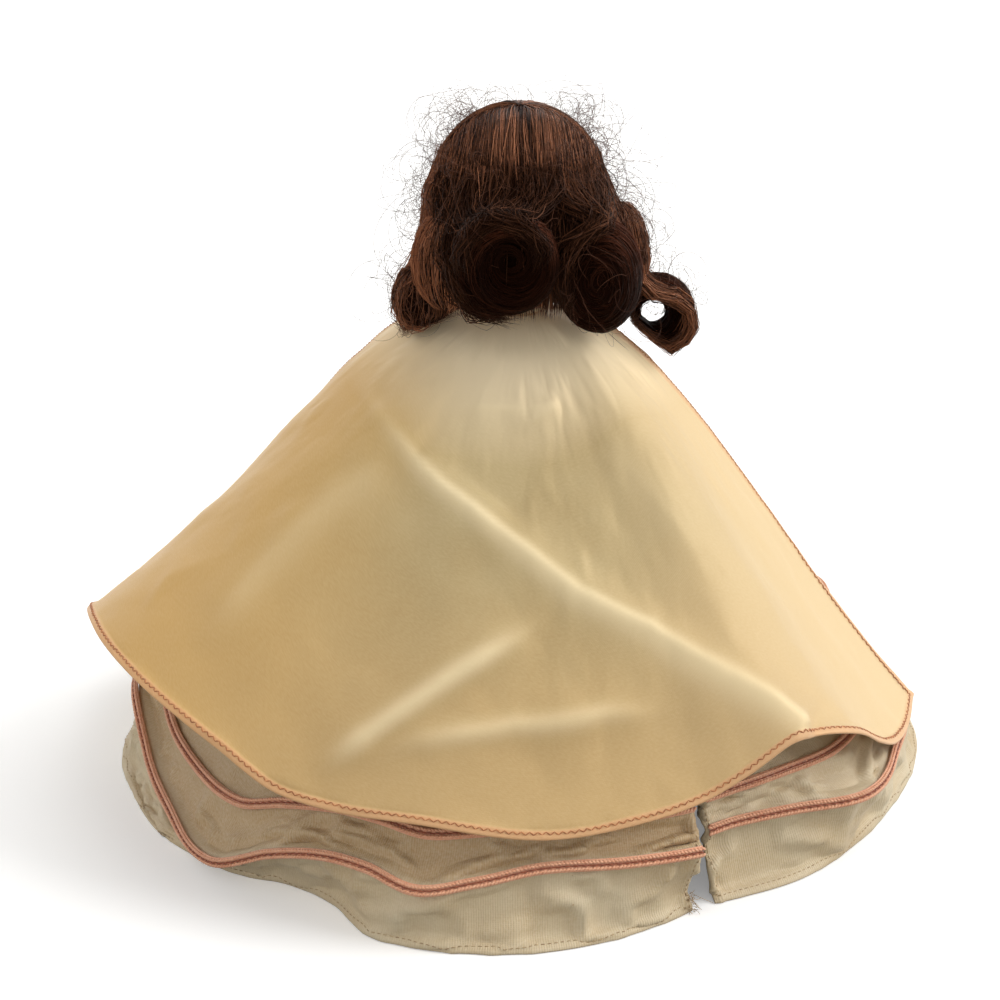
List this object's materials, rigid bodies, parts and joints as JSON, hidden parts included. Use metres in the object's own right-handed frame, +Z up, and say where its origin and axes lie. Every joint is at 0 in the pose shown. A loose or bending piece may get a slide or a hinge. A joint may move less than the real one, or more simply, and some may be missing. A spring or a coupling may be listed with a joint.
{
  "type": "plastic doll",
  "caption": "Strung hard-plastic doll with sleeping eyes and rolled dark hair, dressed in a floor-length ribbed gown with braid trim under a satin cape.",
  "frame": {"origin": "on the floor, under the middle of the dressed doll's overall box", "axes": "+Z up, -Y the way the doll faces, +X towards the doll's left hand"},
  "size_m": [0.2301, 0.2213, 0.1803],
  "materials": {
    "skin_plastic": "soft sheen, flesh tint",
    "eye_plastic": "glossy",
    "lead": "dull grey",
    "steel_wire": "drawn wire",
    "elastic": "cotton-covered",
    "wig_net": "net",
    "mohair": "combed hair, soft shine",
    "ribbed_taffeta": "fine ribs, low shine",
    "cape_satin": "satin",
    "pink_braid": "matte cord"
  },
  "bodies": {
    "torso": {"torso_front": "skin_plastic", "torso_back": "skin_plastic", "arm_hook_left": "steel_wire", "arm_hook_right": "steel_wire", "leg_hook_left": "steel_wire", "leg_hook_right": "steel_wire", "neck_hook": "steel_wire", "arm_elastic": "elastic", "leg_elastic": "elastic", "bodice": "ribbed_taffeta", "snap_stud": "steel_wire", "snap_socket": "steel_wire", "waistband": "pink_braid", "skirt": "ribbed_taffeta", "braid_upper": "pink_braid", "braid_lower": "pink_braid", "cape": "cape_satin", "cape_neckband": "cape_satin", "neck_bow": "cape_satin"},
    "head": {"head_front": "skin_plastic", "head_back": "skin_plastic", "eye_bracket_left": "skin_plastic", "eye_bracket_right": "skin_plastic", "wig_cap": "wig_net", "hair_crown": "mohair", "hair_wave_front": "mohair", "hair_roll_centre": "mohair", "hair_roll_right": "mohair", "hair_roll_left": "mohair", "hair_curl_left": "mohair", "hair_side_right": "mohair", "hair_curl_right": "mohair"},
    "eyes": {"eye_left": "eye_plastic", "eye_right": "eye_plastic", "eye_bar": "steel_wire", "eye_weight": "lead"},
    "arm_left": {"arm_left": "skin_plastic"},
    "arm_right": {"arm_right": "skin_plastic"},
    "leg_left": {"leg_left": "skin_plastic"},
    "leg_right": {"leg_right": "skin_plastic"}
  },
  "joints": [
    {"name": "head_turn", "type": "hinge", "parent": "torso", "child": "head", "pos_m": [0, 0, 0.126], "axis": [0, 0, 1], "range_deg": [-60, 60]},
    {"name": "eyes_rock", "type": "hinge", "parent": "head", "child": "eyes", "pos_m": [0, -0.01213, 0.154], "axis": [1, 0, 0], "range_deg": [0, 65]},
    {"name": "arm_left_swing", "type": "hinge", "parent": "torso", "child": "arm_left", "pos_m": [0, 0, 0.115], "axis": [-1, 0, 0], "range_deg": [-15, 60]},
    {"name": "arm_right_swing", "type": "hinge", "parent": "torso", "child": "arm_right", "pos_m": [0, 0, 0.115], "axis": [-1, 0, 0], "range_deg": [-15, 60]},
    {"name": "leg_left_swing", "type": "hinge", "parent": "torso", "child": "leg_left", "pos_m": [0, 0, 0.066], "axis": [-1, 0, 0], "range_deg": [-25, 45]},
    {"name": "leg_right_swing", "type": "hinge", "parent": "torso", "child": "leg_right", "pos_m": [0, 0, 0.066], "axis": [-1, 0, 0], "range_deg": [-25, 45]}
  ]
}
